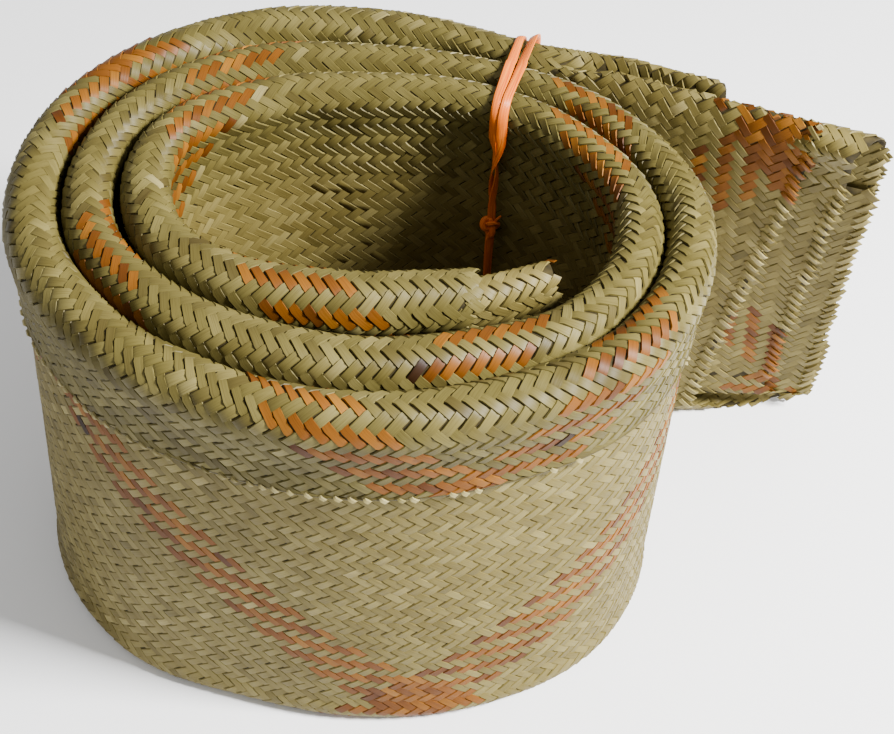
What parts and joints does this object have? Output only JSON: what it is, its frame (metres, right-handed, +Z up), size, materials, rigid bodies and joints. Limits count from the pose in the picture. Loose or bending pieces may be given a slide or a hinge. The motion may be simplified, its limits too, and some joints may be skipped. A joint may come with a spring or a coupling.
{
  "type": "rolled woven bamboo mat",
  "caption": "Woven split-bamboo mat folded lengthwise, rolled up and stood on edge, with a free tail and a raffia tie.",
  "frame": {"origin": "middle of the bounding box at floor level", "axes": "+Z up along the roll's axis, +X towards the free tail, -Y the front of the roll"},
  "size_m": [0.3826, 0.2526, 0.2294],
  "materials": {
    "bamboo": "woven split bamboo, natural khaki with dyed orange-brown stripes, satin",
    "raffia": "flat orange raffia twine, slightly glossy"
  },
  "bodies": {
    "root": {"mat": "bamboo", "tie": "raffia"}
  },
  "joints": []
}
